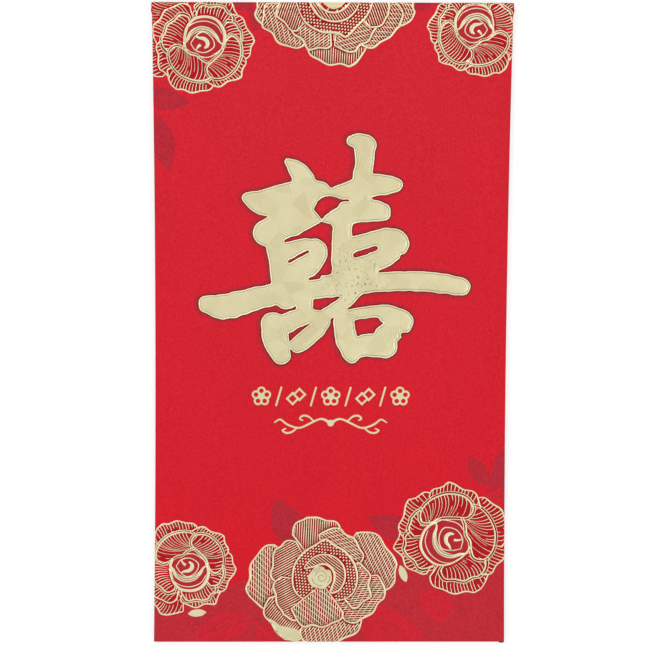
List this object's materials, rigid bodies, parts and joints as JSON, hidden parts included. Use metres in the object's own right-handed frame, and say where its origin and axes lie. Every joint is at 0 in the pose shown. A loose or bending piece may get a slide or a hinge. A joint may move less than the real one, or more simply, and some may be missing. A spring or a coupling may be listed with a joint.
{
  "type": "gift envelope",
  "caption": "Flat red wedding gift envelope folded from one sheet of card, with a gold foil stamped front, a glued back seam and foot, and a closure flap that folds behind.",
  "frame": {"origin": "middle of the envelope, on the surface that its back lies on", "axes": "+Z out of the printed front, +Y towards the top crease, +X to the right of the front as it is read"},
  "size_m": [0.09, 0.165, 0.0021],
  "materials": {
    "card": "matte",
    "glue": "satin",
    "foil": "satin"
  },
  "bodies": {
    "envelope": {"front_panel": "card", "left_fold": "card", "right_fold": "card", "back_panel": "card", "seam_flap": "card", "bottom_fold": "card", "bottom_flap": "card", "closure_crease": "card", "seam_glue": "glue", "bottom_flap_glue": "glue", "double_happiness_foil": "foil", "rose_top_left_foil": "foil", "rose_top_right_foil": "foil", "rose_bottom_left_foil": "foil", "rose_bottom_right_foil": "foil", "peony_top_foil": "foil", "peony_bottom_foil": "foil", "leaf_left_foil": "foil", "leaf_right_foil": "foil", "ornament_1_foil": "foil", "ornament_2_foil": "foil", "ornament_3_foil": "foil", "ornament_4_foil": "foil", "ornament_5_foil": "foil", "slash_1_foil": "foil", "slash_2_foil": "foil", "slash_3_foil": "foil", "slash_4_foil": "foil", "scroll_foil": "foil"},
    "flap": {"closure_flap": "card", "flap_crease": "card"}
  },
  "joints": [
    {"name": "closure_flap_hinge", "type": "hinge", "parent": "envelope", "child": "flap", "pos_m": [0, 0.0825, 0.001], "axis": [1, 0, 0], "range_deg": [0, 180]}
  ]
}
